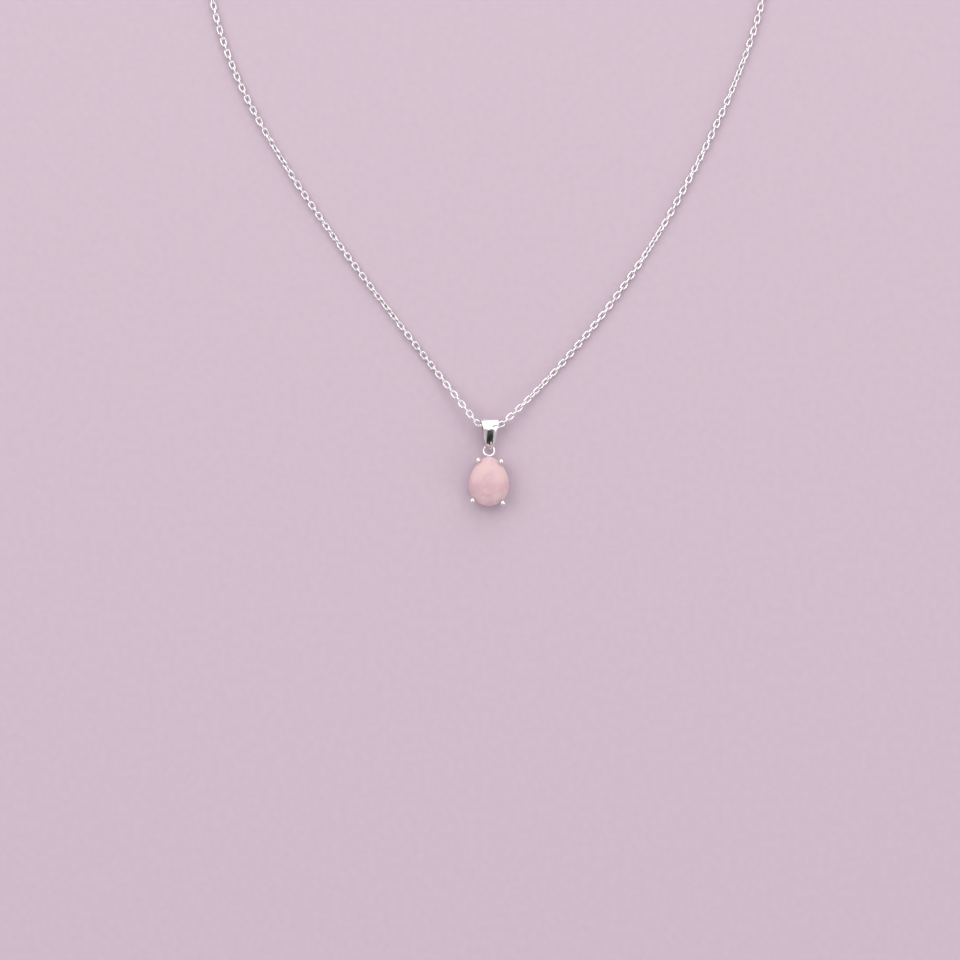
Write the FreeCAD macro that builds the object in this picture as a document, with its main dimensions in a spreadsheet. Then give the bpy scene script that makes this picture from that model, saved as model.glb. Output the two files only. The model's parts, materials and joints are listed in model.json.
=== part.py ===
"""Fine pendant necklace: a claw-set pear stone on a tapered bail and a cable chain.

It lies face up on a flat surface. Millimetres, +Z up out of the stone's face, +Y from the pendant
towards the clasp, +X to the right seen from above. The origin is on the underside of the lower
rail, in the middle of its round end. The clasp is unfastened, so both ends of the chain are free.
"""
import FreeCAD, Part
import math
import os

import Sketcher

Vector = FreeCAD.Vector
Rotation = FreeCAD.Rotation
Placement = FreeCAD.Placement
X_AXIS, Y_AXIS, Z_AXIS = Vector(1, 0, 0), Vector(0, 1, 0), Vector(0, 0, 1)

# ---------------------------------------------------------------- driving dimensions

SIZES = [
    # the pear stone
    ("stone_length", 10.0),
    ("stone_width", 8.0),
    ("stone_tip_radius", 1.5),
    ("girdle_thickness", 0.3),
    ("crown_height", 1.75),
    ("pavilion_depth", 2.65),
    ("stone_lift", 0.35),
    # the basket that holds it
    ("solder_gap", 0.02),
    ("upper_rail_inset", 0.2),
    ("upper_rail_width", 0.7),
    ("upper_rail_height", 0.6),
    ("lower_rail_inset", 1.0),
    ("lower_rail_width", 0.75),
    ("lower_rail_height", 0.6),
    ("rail_round", 0.18),
    ("claw_wire", 0.76),
    ("claw_ball", 1.08),
    ("claw_rise", 0.6),
    ("hanging_ring_outer", 2.6),
    ("hanging_ring_wire", 0.42),
    # the bail
    ("bail_wall", 0.4),
    ("bail_top_radius", 1.8),
    ("bail_foot_radius", 0.95),
    ("bail_centres", 4.2),
    ("bail_top_width", 3.8),
    ("bail_foot_width", 0.37),
    ("bail_edge_round", 0.14),
    ("bail_floor_gap", 0.09),
    ("chain_sag_in_bail", 0.85),
    ("chain_lift_in_bail", 0.2),
    ("hook_slack", 0.17),
    # the cable chain
    ("link_wire", 0.38),
    ("link_length", 2.05),
    ("link_side_play", 0.1),
    ("link_end_play", 0.04),
    ("bend_slack", 0.05),
    ("floor_gap", 0.01),
    # jump rings at the chain's ends
    ("jump_wire", 0.42),
    ("end_ring_outer", 3.6),
    ("clasp_ring_outer", 2.6),
    ("clasp_ring_slack", 0.04),
    ("ring_end_play", 0.04),
    # the lobster clasp
    ("clasp_thickness", 2.2),
    ("clasp_eye_radius", 1.1),
    ("clasp_eye_hole", 0.64),
    ("clasp_eye_thickness", 0.8),
    ("clasp_hook_centre", 6.3),
    ("clasp_hook_outer", 2.3),
    ("clasp_hook_inner", 1.2),
    ("clasp_neck", 0.8),
    ("clasp_belly_at", 3.2),
    ("clasp_belly_depth", 1.95),
    ("clasp_shoulder_at", 1.9),
    ("clasp_shoulder_bulge_at", 1.15),
    ("clasp_shoulder_bulge", 1.25),
    ("clasp_block_top", 1.55),
    ("clasp_block_end", 3.6),
    ("clasp_block_floor", 0.55),
    ("clasp_throat", 0.7),
    ("clasp_throat_round", 0.2),
    ("clasp_slot", 1.1),
    ("clasp_slot_depth", 0.15),
    ("clasp_slot_gap", 0.13),
    ("clasp_running_gap", 0.05),
    ("pin_radius", 0.25),
    ("pin_press_gap", 0.01),
    ("pin_running_gap", 0.03),
    ("lever_pivot_at", 2.6),
    ("lever_pivot_height", 0.75),
    ("lever_hub_radius", 0.62),
    ("lever_hub_thickness", 0.5),
    ("lever_recess_gap", 0.04),
    ("lever_reach", 4.22),
    ("lever_bend_at", 4.6),
    ("lever_bend_low", 0.95),
    ("lever_bend_high", 2.15),
    ("lever_thumb_at", 4.35),
    ("lever_thumb_height", 2.05),
    ("lever_thumb_radius", 0.55),
    ("spring_wire", 0.11),
    ("spring_rise", 0.143),
    ("spring_leg", 0.33),
]

# angles in degrees and counts
CLAW_DIRECTIONS = {
    "claw_top_right": 65.0,
    "claw_top_left": 111.0,
    "claw_bottom_left": 221.0,
    "claw_bottom_right": 309.0,
}
BAIL_ROLL = 14.0
LINKS_PER_SECTION = 15
FRONT_LINKS_EACH_SIDE = 3
FRONT_LEAN = 3.0
FRONT_BENDS = {"right": [16.0, 15.0, 15.0], "left": [16.0, 17.0, 16.0]}
SECTION_TURNS = {
    "right": [6.0, 6.0, 6.0, 4.0, 7.0, 13.0, 21.0, 25.0, 23.0, 12.0],
    "left": [0.0, 1.0, 3.0, 5.0, 12.0, 18.0, 23.0, 24.0, 17.0, 9.0],
}
SECTION_ROLLS = {
    "right": [38.0, 12.0, 45.0, -30.0, 45.0, 10.0, -40.0, 45.0, 20.0, 0.0],
    "left": [15.0, 45.0, 30.0, -45.0, 10.0, 40.0, -20.0, 45.0, -35.0, 0.0],
}
RISE_LINKS = 12
CLASP_RING_ROLL = 55.0
SPRING_HALF_TURNS = 5
LEVER_HUB_ANGLES = (100.0, 200.0, -60.0)
END_RING_ROLL = 15.0
END_RISE_LINKS = 8

doc = FreeCAD.newDocument("pendant_necklace")
sheet = doc.addObject("Spreadsheet::Sheet", "Sizes")
for row, (alias, number) in enumerate(SIZES, start=1):
    sheet.set(f"A{row}", alias.replace("_", " "))
    sheet.set(f"B{row}", str(number))
    sheet.setAlias(f"B{row}", alias)
doc.recompute()


def size(alias):
    return float(getattr(sheet, alias))


def unit(degrees):
    return Vector(math.cos(math.radians(degrees)), math.sin(math.radians(degrees)), 0)


pieces = []


def keep(piece, label):
    piece.Label = label
    pieces.append(piece)
    return piece


# ---------------------------------------------------------------- the pear outline

HALF_WIDTH = size("stone_width") / 2
WIDEST_Y = HALF_WIDTH - size("stone_length") / 2
TIP_CENTRE_Y = size("stone_length") / 2 - size("stone_tip_radius")
SIDE_RADIUS = (
    HALF_WIDTH**2 + (TIP_CENTRE_Y - WIDEST_Y) ** 2 - size("stone_tip_radius") ** 2
) / (2 * (HALF_WIDTH - size("stone_tip_radius")))
SIDE_CENTRE = Vector(HALF_WIDTH - SIDE_RADIUS, WIDEST_Y, 0)
TIP_DIRECTION = (Vector(0, TIP_CENTRE_Y, 0) - SIDE_CENTRE).normalize()
STONE_MIDDLE = Vector(
    0,
    size("stone_length") / 2 - size("lower_rail_inset") - size("lower_rail_width") / 2,
    0,
)


def mirrored(point):
    return Vector(-point.x, point.y, point.z)


def pear_arcs(inset):
    """Arcs of the stone's outline, moved inwards by inset, anticlockwise from the right side."""
    round_radius = HALF_WIDTH - inset
    side_radius = SIDE_RADIUS - inset
    tip_radius = size("stone_tip_radius") - inset
    right = Vector(round_radius, WIDEST_Y, 0)
    bottom = Vector(0, WIDEST_Y - round_radius, 0)
    pointed = tip_radius < 0.05
    if pointed:
        tip = Vector(0, WIDEST_Y + math.sqrt(side_radius**2 - SIDE_CENTRE.x**2), 0)
    else:
        tip = SIDE_CENTRE + TIP_DIRECTION * side_radius
    half_way = ((right - SIDE_CENTRE) + (tip - SIDE_CENTRE)).normalize()
    side = SIDE_CENTRE + half_way * side_radius
    arcs = [Part.Arc(right, side, tip)]
    if not pointed:
        crest = Vector(0, TIP_CENTRE_Y + tip_radius, 0)
        arcs.append(Part.Arc(tip, crest, mirrored(tip)))
    arcs.append(Part.Arc(mirrored(tip), mirrored(side), mirrored(right)))
    arcs.append(Part.Arc(mirrored(right), bottom, right))
    return arcs


def pear_point(direction):
    """Point of the outline and its outward normal, seen from the middle of the round end."""
    ray = unit(direction)
    middle = Vector(0, WIDEST_Y, 0)
    if ray.y <= 0:
        return middle + ray * HALF_WIDTH, ray
    centre = SIDE_CENTRE if ray.x >= 0 else mirrored(SIDE_CENTRE)
    across = middle - centre
    along = across.dot(ray)
    reach = -along + math.sqrt(along**2 - across.dot(across) + SIDE_RADIUS**2)
    point = middle + ray * reach
    if point.y > TIP_CENTRE_Y + size("stone_tip_radius") * TIP_DIRECTION.y:
        centre = Vector(0, TIP_CENTRE_Y, 0)
        across = middle - centre
        along = across.dot(ray)
        tip_radius = size("stone_tip_radius")
        reach = -along + math.sqrt(along**2 - across.dot(across) + tip_radius**2)
        point = middle + ray * reach
    return point, (point - centre).normalize()


# ---------------------------------------------------------------- the stone

GIRDLE_Z = size("stone_lift") + size("pavilion_depth") + size("girdle_thickness") / 2
CROWN_MIDDLE = Vector(0, -0.3, 0)
PAVILION_BREAK = (0.62, 0.51)
CROWN_STEPS = [(0.80, 0.52), (0.50, 0.90)]
STONE_SIDES = 32


def outline_points(scale, height, turned):
    """Corners of the faceted outline at one level of the stone."""
    corners = []
    for side in range(STONE_SIDES):
        direction = 90 + (side + 0.5 * turned) * 360 / STONE_SIDES
        point = pear_point(direction)[0]
        corner = CROWN_MIDDLE + (point - CROWN_MIDDLE) * scale
        corners.append(Vector(corner.x, corner.y, height))
    return corners


def facet(*corners):
    return Part.Face(Part.makePolygon([*corners, corners[0]]))


def facet_band(lower, upper, upper_is_turned):
    """Triangles between two rings of corners, one of them half a step round."""
    faces = []
    for side in range(len(lower)):
        after = (side + 1) % len(lower)
        if upper_is_turned:
            faces.append(facet(lower[side], lower[after], upper[side]))
            faces.append(facet(upper[side], lower[after], upper[after]))
        else:
            faces.append(facet(lower[side], upper[after], upper[side]))
            faces.append(facet(lower[side], lower[after], upper[after]))
    return faces


def make_stone():
    top = GIRDLE_Z + size("girdle_thickness") / 2
    below = GIRDLE_Z - size("girdle_thickness") / 2
    crown, depth = size("crown_height"), size("pavilion_depth")
    culet = Vector(CROWN_MIDDLE.x, CROWN_MIDDLE.y, below - depth)
    break_ring = outline_points(PAVILION_BREAK[0], below - depth * PAVILION_BREAK[1], True)
    lower_girdle = outline_points(1.0, below, False)
    upper_girdle = outline_points(1.0, top, False)
    crown_ring = outline_points(CROWN_STEPS[0][0], top + crown * CROWN_STEPS[0][1], True)
    table_ring = outline_points(CROWN_STEPS[1][0], top + crown * CROWN_STEPS[1][1], False)
    apex = Vector(CROWN_MIDDLE.x, CROWN_MIDDLE.y, top + crown)
    faces = facet_band(break_ring, lower_girdle, False)
    faces += facet_band(upper_girdle, crown_ring, True)
    faces += facet_band(crown_ring, table_ring, False)
    for side in range(STONE_SIDES):
        after = (side + 1) % STONE_SIDES
        girdle_low = (lower_girdle[side], lower_girdle[after])
        faces.append(facet(*girdle_low, upper_girdle[after], upper_girdle[side]))
        faces.append(facet(break_ring[side], break_ring[after], culet))
        faces.append(facet(table_ring[side], table_ring[after], apex))
    solid = Part.Solid(Part.makeShell(faces))
    if solid.Volume < 0:
        solid.reverse()
    stone = doc.addObject("Part::Feature", "Gemstone")
    stone.Shape = solid
    stone.Placement = Placement(STONE_MIDDLE, Rotation())
    return keep(stone, "gemstone")


# ---------------------------------------------------------------- sketch helpers


def new_body(name):
    return doc.addObject("PartDesign::Body", name)


def sketch_on(body, plane, name, geometry, height=None):
    """A sketch on one of the body's own origin planes, with its geometry joined end to end."""
    sketch = body.newObject("Sketcher::SketchObject", name)
    origin_plane = next(f for f in body.Origin.OriginFeatures if f.Role == plane)
    sketch.AttachmentSupport = [(origin_plane, "")]
    sketch.MapMode = "FlatFace"
    if height is not None:
        sketch.setExpression("AttachmentOffset.Base.z", height)
    for element in geometry:
        sketch.addGeometry(element, False)
    return sketch


def pad(body, sketch, length, name, midplane=False):
    feature = body.newObject("PartDesign::Pad", name)
    feature.Profile = sketch
    feature.Midplane = midplane
    feature.setExpression("Length", length)
    return feature


def pocket(body, sketch, length, name, midplane=True):
    feature = body.newObject("PartDesign::Pocket", name)
    feature.Profile = sketch
    feature.Midplane = midplane
    feature.setExpression("Length", length)
    return feature


def outline(*corners):
    """Straight edges round a closed outline."""
    return [
        Part.LineSegment(start, end)
        for start, end in zip(corners, [*corners[1:], corners[0]])
    ]


def circle(centre, *radii):
    """A circle whose radius is the sum of the named sizes."""
    return [Part.Circle(centre, Z_AXIS, sum(size(name) for name in radii))]


def round_edges(body, feature, radius, name, wanted):
    """Fillets the edges of the last feature that wanted() picks."""
    doc.recompute()
    names = [
        f"Edge{number}"
        for number, edge in enumerate(feature.Shape.Edges, start=1)
        if wanted(edge)
    ]
    fillet = body.newObject("PartDesign::Fillet", name)
    fillet.Base = (feature, names)
    fillet.setExpression("Radius", radius)
    return fillet


# ---------------------------------------------------------------- the basket

STONE_SLOPE_RUN = (1 - PAVILION_BREAK[0]) * HALF_WIDTH
STONE_SLOPE_DROP = size("pavilion_depth") * PAVILION_BREAK[1]
UPPER_RAIL_TOP = (
    GIRDLE_Z
    - size("girdle_thickness") / 2
    - STONE_SLOPE_DROP * (size("upper_rail_inset") + size("upper_rail_width")) / STONE_SLOPE_RUN
    - size("solder_gap")
)
UPPER_RAIL_MIDDLE = UPPER_RAIL_TOP - size("upper_rail_height") / 2


def make_rail(name, base_height):
    body = new_body(name)
    inset, width = size(f"{name}_inset"), size(f"{name}_width")
    ring = pear_arcs(inset) + pear_arcs(inset + width)
    sketch = sketch_on(body, "XY_Plane", f"{name}_section", ring)
    band = pad(body, sketch, f"Sizes.{name}_height", f"{name}_band")

    def is_upper(edge):
        return edge.BoundBox.ZMin > size(f"{name}_height") / 2

    round_edges(body, band, "Sizes.rail_round", f"{name}_round", is_upper)
    body.Placement = Placement(STONE_MIDDLE + Z_AXIS * base_height, Rotation())
    return keep(body, name)


def make_claw(label, direction):
    """A wire stands beside the lower rail, leans out past the upper one and ends in a ball."""
    girdle_point, normal = pear_point(direction)
    out = size("claw_wire") / 2 + size("solder_gap")
    foot = out - size("lower_rail_inset")
    waist = out - size("upper_rail_inset")
    top = GIRDLE_Z + size("claw_rise")
    bend_room = size("claw_wire") / 3
    corners = [
        Vector(foot, 0, 0),
        Vector(foot, size("lower_rail_height"), 0),
        Vector(waist, UPPER_RAIL_TOP - size("upper_rail_height") - bend_room, 0),
        Vector(waist, UPPER_RAIL_TOP + bend_room, 0),
        Vector(out, GIRDLE_Z - size("girdle_thickness") / 2, 0),
        Vector(out, top, 0),
    ]
    body = new_body(label)
    spine = sketch_on(
        body,
        "XZ_Plane",
        f"{label}_spine",
        [Part.LineSegment(start, end) for start, end in zip(corners, corners[1:])],
    )
    section = sketch_on(
        body,
        "XY_Plane",
        f"{label}_section",
        [Part.Circle(Vector(foot, 0, 0), Z_AXIS, size("claw_wire") / 2)],
    )
    diameter = section.addConstraint(Sketcher.Constraint("Diameter", 0, size("claw_wire")))
    section.renameConstraint(diameter, "wire")
    section.setExpression("Constraints.wire", "Sizes.claw_wire")
    wire = body.newObject("PartDesign::AdditivePipe", f"{label}_wire")
    wire.Profile = section
    wire.Spine = (spine, [f"Edge{number}" for number in range(1, len(corners))])
    wire.Transition = 2
    doc.recompute()
    ball = body.newObject("PartDesign::AdditiveSphere", f"{label}_ball")
    ball.setExpression("Radius", "Sizes.claw_ball / 2")
    plane = next(f for f in body.Origin.OriginFeatures if f.Role == "XY_Plane")
    ball.AttachmentSupport = [(plane, "")]
    ball.MapMode = "FlatFace"
    ball.AttachmentOffset = Placement(Vector(out, 0, top), Rotation())
    turn = math.degrees(math.atan2(normal.y, normal.x))
    body.Placement = Placement(STONE_MIDDLE + girdle_point, Rotation(Z_AXIS, turn))
    return keep(body, label)


RING_LOW_WIRE = Vector(
    0,
    STONE_MIDDLE.y
    + size("stone_length") / 2
    - size("upper_rail_inset")
    + size("hanging_ring_wire") / 2
    + size("solder_gap"),
    UPPER_RAIL_MIDDLE,
)
RING_CENTRELINE = (size("hanging_ring_outer") - size("hanging_ring_wire")) / 2
BAIL_FOOT_Z = size("bail_foot_radius") + size("bail_floor_gap")
BAIL_ROLL_LIFT = size("bail_top_width") / 2 * abs(math.sin(math.radians(BAIL_ROLL)))
BAIL_TOP_Z = size("bail_top_radius") + size("bail_floor_gap") + BAIL_ROLL_LIFT
BAIL_PITCH = math.asin((BAIL_TOP_Z - BAIL_FOOT_Z) / size("bail_centres"))
RING_FAR_Z = BAIL_FOOT_Z + size("hook_slack") * math.sin(BAIL_PITCH)
RING_TILT = math.asin((UPPER_RAIL_MIDDLE - RING_FAR_Z) / (2 * RING_CENTRELINE))
RING_DIRECTION = Vector(0, math.cos(RING_TILT), -math.sin(RING_TILT))
RING_FAR_WIRE = RING_LOW_WIRE + RING_DIRECTION * (2 * RING_CENTRELINE)


def make_ring(name, label, outer, wire, centre, rotation):
    ring = doc.addObject("Part::Torus", name)
    ring.setExpression("Radius1", f"(Sizes.{outer} - Sizes.{wire}) / 2")
    ring.setExpression("Radius2", f"Sizes.{wire} / 2")
    ring.Placement = Placement(centre, rotation)
    return keep(ring, label)


def make_hanging_ring():
    centre = RING_LOW_WIRE + RING_DIRECTION * RING_CENTRELINE
    tilt = Rotation(X_AXIS, -math.degrees(RING_TILT))
    return make_ring(
        "HangingRing", "hanging_ring", "hanging_ring_outer", "hanging_ring_wire", centre, tilt
    )


# ---------------------------------------------------------------- the bail

BAIL_DIRECTION = Vector(0, math.cos(BAIL_PITCH), math.sin(BAIL_PITCH))
BAIL_FOOT = RING_FAR_WIRE - BAIL_DIRECTION * size("hook_slack")
BAIL_TOP = BAIL_FOOT + BAIL_DIRECTION * size("bail_centres")


def loop_arcs(foot_radius, top_radius, centres):
    """Two arcs and their two common tangents: the bail's loop seen from the side."""
    lean = math.degrees(math.asin((top_radius - foot_radius) / centres))
    front, back = unit(90 + lean), unit(-90 - lean)
    top = Vector(centres, 0, 0)
    return [
        Part.Arc(front * foot_radius, Vector(-foot_radius, 0, 0), back * foot_radius),
        Part.LineSegment(back * foot_radius, top + back * top_radius),
        Part.Arc(top + back * top_radius, Vector(centres + top_radius, 0, 0), top + front * top_radius),
        Part.LineSegment(top + front * top_radius, front * foot_radius),
    ]


def make_bail():
    """A band bent to a loop, wide at the chain and narrow at the ring."""
    foot, top, wall = size("bail_foot_radius"), size("bail_top_radius"), size("bail_wall")
    centres = size("bail_centres")
    body = new_body("Bail")
    loop = loop_arcs(foot, top, centres) + loop_arcs(foot - wall, top - wall, centres)
    side_view = sketch_on(body, "XZ_Plane", "bail_side_view", loop)
    pad(body, side_view, "Sizes.bail_top_width", "bail_band", midplane=True)
    widest, narrow = size("bail_top_width") / 2, size("bail_foot_width") / 2
    far = size("bail_top_width")
    start, end = -foot - wall, centres + top
    cheeks = []
    for side in (1, -1):
        cheeks += outline(
            Vector(start, side * narrow, 0),
            Vector(end, side * widest, 0),
            Vector(end + wall, side * widest, 0),
            Vector(end + wall, side * far, 0),
            Vector(start, side * far, 0),
        )
    front_view = sketch_on(body, "XY_Plane", "bail_cheeks", cheeks)
    taper = pocket(body, front_view, "Sizes.bail_top_radius * 3", "bail_taper")

    def is_outer(edge):
        point = edge.valueAt((edge.FirstParameter + edge.LastParameter) / 2)
        lean = math.asin((top - foot) / centres)
        share = min(max((point.x + abs(point.z) * math.tan(lean)) / centres, 0), 1)
        reach = math.hypot(point.x - share * centres, point.z)
        outside = foot + share * (top - foot) - wall / 2
        return reach > outside and abs(point.y) > narrow / 2

    round_edges(body, taper, "Sizes.bail_edge_round", "bail_round", is_outer)
    along = Rotation(Z_AXIS, 90)
    pitch = Rotation(X_AXIS, math.degrees(BAIL_PITCH))
    roll = Rotation(Y_AXIS, BAIL_ROLL)
    body.Placement = Placement(BAIL_FOOT, pitch.multiply(roll).multiply(along))
    return keep(body, "bail")


# ---------------------------------------------------------------- the chain

LINK_WIDTH = 3 * size("link_wire") + 2 * size("link_side_play")
PITCH = size("link_length") - 2 * size("link_wire") - size("link_end_play")
WIRE_CENTRE = (LINK_WIDTH - size("link_wire")) / 2
LINK_STRAIGHT = size("link_length") - LINK_WIDTH
CHAIN_START = Vector(
    0,
    BAIL_TOP.y
    + size("bail_top_radius")
    - size("bail_wall")
    - LINK_WIDTH / 2
    - size("chain_sag_in_bail"),
    BAIL_TOP.z + size("chain_lift_in_bail"),
)


def make_link():
    """One oval link in its own plane: two half rings and two straights, fused."""
    parts = []
    for name, side in (("LinkEndFar", 1), ("LinkEndNear", -1)):
        end = doc.addObject("Part::Torus", name)
        end.setExpression("Radius1", "Sizes.link_wire + Sizes.link_side_play")
        end.setExpression("Radius2", "Sizes.link_wire / 2")
        end.Angle3 = 180
        end.Placement = Placement(
            Vector(side * LINK_STRAIGHT / 2, 0, 0), Rotation(Z_AXIS, -90 * side)
        )
        parts.append(end)
    for name, side in (("LinkSideUpper", 1), ("LinkSideLower", -1)):
        bar = doc.addObject("Part::Cylinder", name)
        bar.setExpression("Radius", "Sizes.link_wire / 2")
        bar.setExpression(
            "Height", "Sizes.link_length - 3 * Sizes.link_wire - 2 * Sizes.link_side_play"
        )
        bar.Placement = Placement(
            Vector(-LINK_STRAIGHT / 2, side * WIRE_CENTRE, 0), Rotation(Y_AXIS, 90)
        )
        parts.append(bar)
    link = doc.addObject("Part::MultiFuse", "Link")
    link.Shapes = parts
    link.Refine = True
    return link


def rest_height(roll):
    """Height of the chain's middle line when its links lean by roll."""
    lean = math.radians(roll)
    widest = max(abs(math.sin(lean)), abs(math.cos(lean)))
    return widest * WIRE_CENTRE + size("link_wire") / 2 + size("floor_gap")


def ease(share):
    share = min(max(share, 0.0), 1.0)
    return 0.5 - 0.5 * math.cos(math.pi * share)


def link_rolls(side):
    """Lean of every link on one side: nothing at the section ends, most in the middle."""
    rolls = [0.0] * (FRONT_LINKS_EACH_SIDE + 1)
    for lean in SECTION_ROLLS[side]:
        for step in range(1, LINKS_PER_SECTION + 1):
            rolls.append(lean * math.sin(math.pi * step / LINKS_PER_SECTION) ** 2)
    last = CLASP_RING_ROLL if side == "right" else END_RING_ROLL
    for step in range(LINKS_PER_SECTION):
        rolls[-1 - step] += last * (1 - ease(step / (LINKS_PER_SECTION - 2)))
    return rolls


def ring_height(outer, roll):
    lean = abs(math.sin(math.radians(roll)))
    centreline = (size(outer) - size("jump_wire")) / 2
    return centreline * lean + size("jump_wire") / 2 + size("floor_gap")


def side_frames(side):
    """Placement of every link on one side, from the one in the bail to the chain's end."""
    mirror = 1 if side == "right" else -1
    turns = list(FRONT_BENDS[side])
    for total in SECTION_TURNS[side]:
        turns += [total / LINKS_PER_SECTION] * LINKS_PER_SECTION
    headings, points = [-mirror * FRONT_LEAN], [Vector(CHAIN_START.x, CHAIN_START.y, 0)]
    for number, turn in enumerate(turns):
        step = PITCH - size("bend_slack") * (number < FRONT_LINKS_EACH_SIDE)
        before, after = headings[-1], headings[-1] + turn
        points.append(points[-1] + (unit(before) + unit(after)) * (step / 2))
        headings.append(after)
    rolls = link_rolls(side)
    last = ring_height("clasp_ring_outer", CLASP_RING_ROLL)
    if side == "left":
        last = ring_height("end_ring_outer", END_RING_ROLL)
    heights = []
    for number, roll in enumerate(rolls):
        low = rest_height(roll)
        rise = 1 - ease((number - FRONT_LINKS_EACH_SIDE + 1) / RISE_LINKS)
        end_rise = 1 - ease((len(rolls) - 1 - number) / END_RISE_LINKS)
        tilt = -mirror * min(points[number].x, size("bail_top_width") / 2)
        carried = CHAIN_START.z + tilt * math.sin(math.radians(BAIL_ROLL))
        height = low + (carried - low) * rise
        heights.append(height + (max(last, low) - low) * end_rise)
    frames = []
    for number, (point, heading, roll) in enumerate(zip(points, headings, rolls)):
        before, after = max(number - 1, 0), min(number + 1, len(heights) - 1)
        climb = (heights[after] - heights[before]) / ((after - before) * PITCH)
        yaw = heading if mirror == 1 else 180 - heading
        own_roll = roll + (90 if number % 2 else 0)
        turn = Rotation(Z_AXIS, yaw)
        turn = turn.multiply(Rotation(Y_AXIS, -math.degrees(math.atan(climb))))
        turn = turn.multiply(Rotation(X_AXIS, own_roll))
        place = Vector(mirror * point.x, point.y, heights[number])
        frames.append(Placement(place, turn))
    return frames


def make_section(name, label, link, frames):
    links = []
    for frame in frames:
        copy = link.Shape.copy()
        copy.Placement = frame.multiply(copy.Placement)
        links.append(copy)
    section = doc.addObject("Part::Feature", name)
    section.Shape = Part.makeCompound(links)
    return keep(section, label)


def make_chain(link, frames):
    right, left = frames["right"], frames["left"]
    reach = FRONT_LINKS_EACH_SIDE
    front = left[reach:0:-1] + right[: reach + 1]
    make_section("ChainFront", "chain_front", link, front)
    for side in ("right", "left"):
        for number in range(len(SECTION_TURNS[side])):
            first = reach + 1 + number * LINKS_PER_SECTION
            stretch = frames[side][first : first + LINKS_PER_SECTION]
            label = f"chain_{side}_{number + 1}"
            make_section(label, label, link, stretch)


# ---------------------------------------------------------------- rings and clasp at the ends


def ring_frame(last_link, outer):
    """A jump ring hooked through the last link, square to it and in line with it."""
    centreline = (size(outer) - size("jump_wire")) / 2
    reach = (
        size("link_length") / 2
        - size("link_wire")
        - size("jump_wire") / 2
        - size("ring_end_play")
        + centreline
    )
    heading = last_link.Rotation.multVec(X_AXIS)
    level = Vector(heading.x, heading.y, 0).normalize()
    across = last_link.Rotation.multVec(Z_AXIS)
    turn = Rotation(level, across - level * across.dot(level), Vector(), "XYZ")
    return Placement(last_link.Base + level * reach, turn), level, centreline


LEVER_PIVOT = Vector(size("lever_pivot_at"), size("lever_pivot_height"), 0)
HOOK_CENTRE = Vector(size("clasp_hook_centre"), 0, 0)


def hook_angle(radius, reach):
    """Angle round the hook's centre where a circle about the lever's pivot crosses the hook."""
    offset = HOOK_CENTRE - LEVER_PIVOT
    constant = (reach**2 - offset.dot(offset) - radius**2) / (2 * radius * offset.Length)
    phase = math.atan2(offset.y, offset.x)
    return math.degrees(phase + math.acos(constant))


def hook_mouth(reach):
    """Outer, middle and inner points of the cut across the hook, at one reach of the lever."""
    outer, inner = size("clasp_hook_outer"), size("clasp_hook_inner")
    outer_end = HOOK_CENTRE + unit(hook_angle(outer, reach)) * outer
    inner_end = HOOK_CENTRE + unit(hook_angle(inner, reach)) * inner
    middle = (outer_end + inner_end) * 0.5 - LEVER_PIVOT
    return outer_end, LEVER_PIVOT + middle.normalize() * reach, inner_end


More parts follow.
